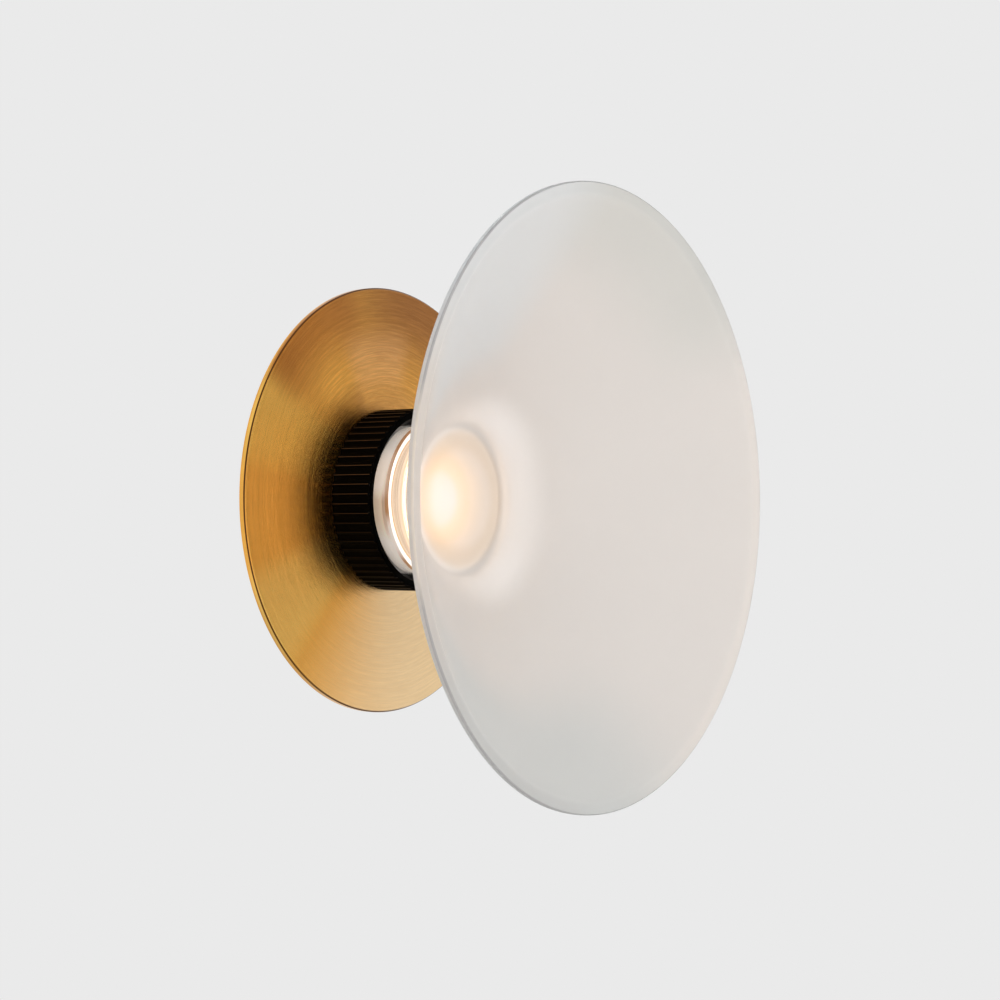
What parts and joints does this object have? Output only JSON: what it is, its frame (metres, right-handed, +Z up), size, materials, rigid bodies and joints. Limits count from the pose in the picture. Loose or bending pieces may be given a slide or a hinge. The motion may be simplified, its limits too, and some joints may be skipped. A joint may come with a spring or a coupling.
{
  "type": "wall sconce",
  "caption": "Wall sconce with a round brass wall disc, a screwed fluted collar and a frosted glass dish lit through its short clear neck.",
  "frame": {"origin": "on the wall plane, in the middle of the two slots for the wall screws, on the axis of the lamp", "axes": "+Z up, -Y out of the wall along the axis of the lamp, +Y into the wall, +X to the right of someone who faces the lamp"},
  "size_m": [0.2764, 0.126, 0.2764],
  "materials": {
    "brushed_brass": "brushed in circles round the axis, lacquered, with a bright chamfer",
    "zinc_plated_steel": "zinc plated",
    "cast_aluminium": "fine cast, with turned faces and thread",
    "steel_screws": "nickel plated, with a cross recess",
    "grommet_rubber": "matt moulded rubber",
    "tinned_copper": "tinned, dull",
    "brass_fittings": "plain turned brass",
    "green_yellow_sleeve": "green insulation with a yellow stripe",
    "nylon": "natural nylon, satin",
    "driver_plastic": "fine spark texture",
    "board_laminate": "green solder mask over glass cloth",
    "ferrite_and_tape": "dark ferrite core round a taped winding",
    "capacitor_sleeve": "shrunk sleeve over an aluminium can",
    "enamelled_copper": "enamelled copper wire on a ferrite drum",
    "brown_sleeve": "smooth insulation",
    "blue_sleeve": "smooth insulation",
    "spun_aluminium": "spun, satin",
    "silicone_pad": "soft matt silicone",
    "white_board": "white solder mask on aluminium",
    "led_phosphor": "yellow phosphor in a white package",
    "connector_plastic": "moulded",
    "red_sleeve": "smooth insulation",
    "black_sleeve": "smooth insulation",
    "opal_lens": "satin diffuser, lit warm white",
    "ring_plastic": "satin moulded plastic",
    "soft_seal": "soft matt silicone",
    "frosted_glass": "acid frosted on the dish and the end of the neck, clear and polished round the neck",
    "black_metal": "satin black anodised, a little worn along the crests of the ribs"
  },
  "bodies": {
    "fixture": {"brass_disc": "brushed_brass", "wall_bracket": "zinc_plated_steel", "base_housing": "cast_aluminium", "housing_screws": "steel_screws", "cable_grommet": "grommet_rubber", "earth_tag": "tinned_copper", "earth_washer": "steel_screws", "earth_screw": "brass_fittings", "earth_lead": "green_yellow_sleeve", "terminal_body": "nylon", "terminal_clamps": "brass_fittings", "terminal_clamp_screws": "steel_screws", "terminal_fixing_screws": "steel_screws", "driver_case": "driver_plastic", "driver_lid": "driver_plastic", "driver_board": "board_laminate", "driver_transformer": "ferrite_and_tape", "driver_capacitors": "capacitor_sleeve", "driver_choke": "enamelled_copper", "driver_screws": "steel_screws", "brown_lead": "brown_sleeve", "blue_lead": "blue_sleeve", "heat_spreader": "spun_aluminium", "spreader_screws": "steel_screws", "thermal_pad": "silicone_pad", "led_board": "white_board", "leds": "led_phosphor", "board_screws": "steel_screws", "lead_connector": "connector_plastic", "red_lead": "red_sleeve", "black_lead": "black_sleeve", "led_lens": "opal_lens", "lens_ring": "ring_plastic", "rear_gasket": "soft_seal"},
    "shade": {"glass_shade": "frosted_glass", "neck_ring": "spun_aluminium", "front_gasket": "soft_seal"},
    "collar": {"fluted_collar": "black_metal"}
  },
  "joints": [
    {"name": "shade_travel", "type": "slide", "parent": "fixture", "child": "shade", "axis": [0, -1, 0], "range_m": [0, 0.01]},
    {"name": "collar_turn", "type": "hinge", "parent": "shade", "child": "collar", "pos_m": [0, -0.014, 0], "axis": [0, -1, 0], "range_deg": [0, 1440]}
  ],
  "couplings": [
    {"joint": "collar_turn", "follows": "shade_travel", "rad_per_m": 2513.3}
  ]
}
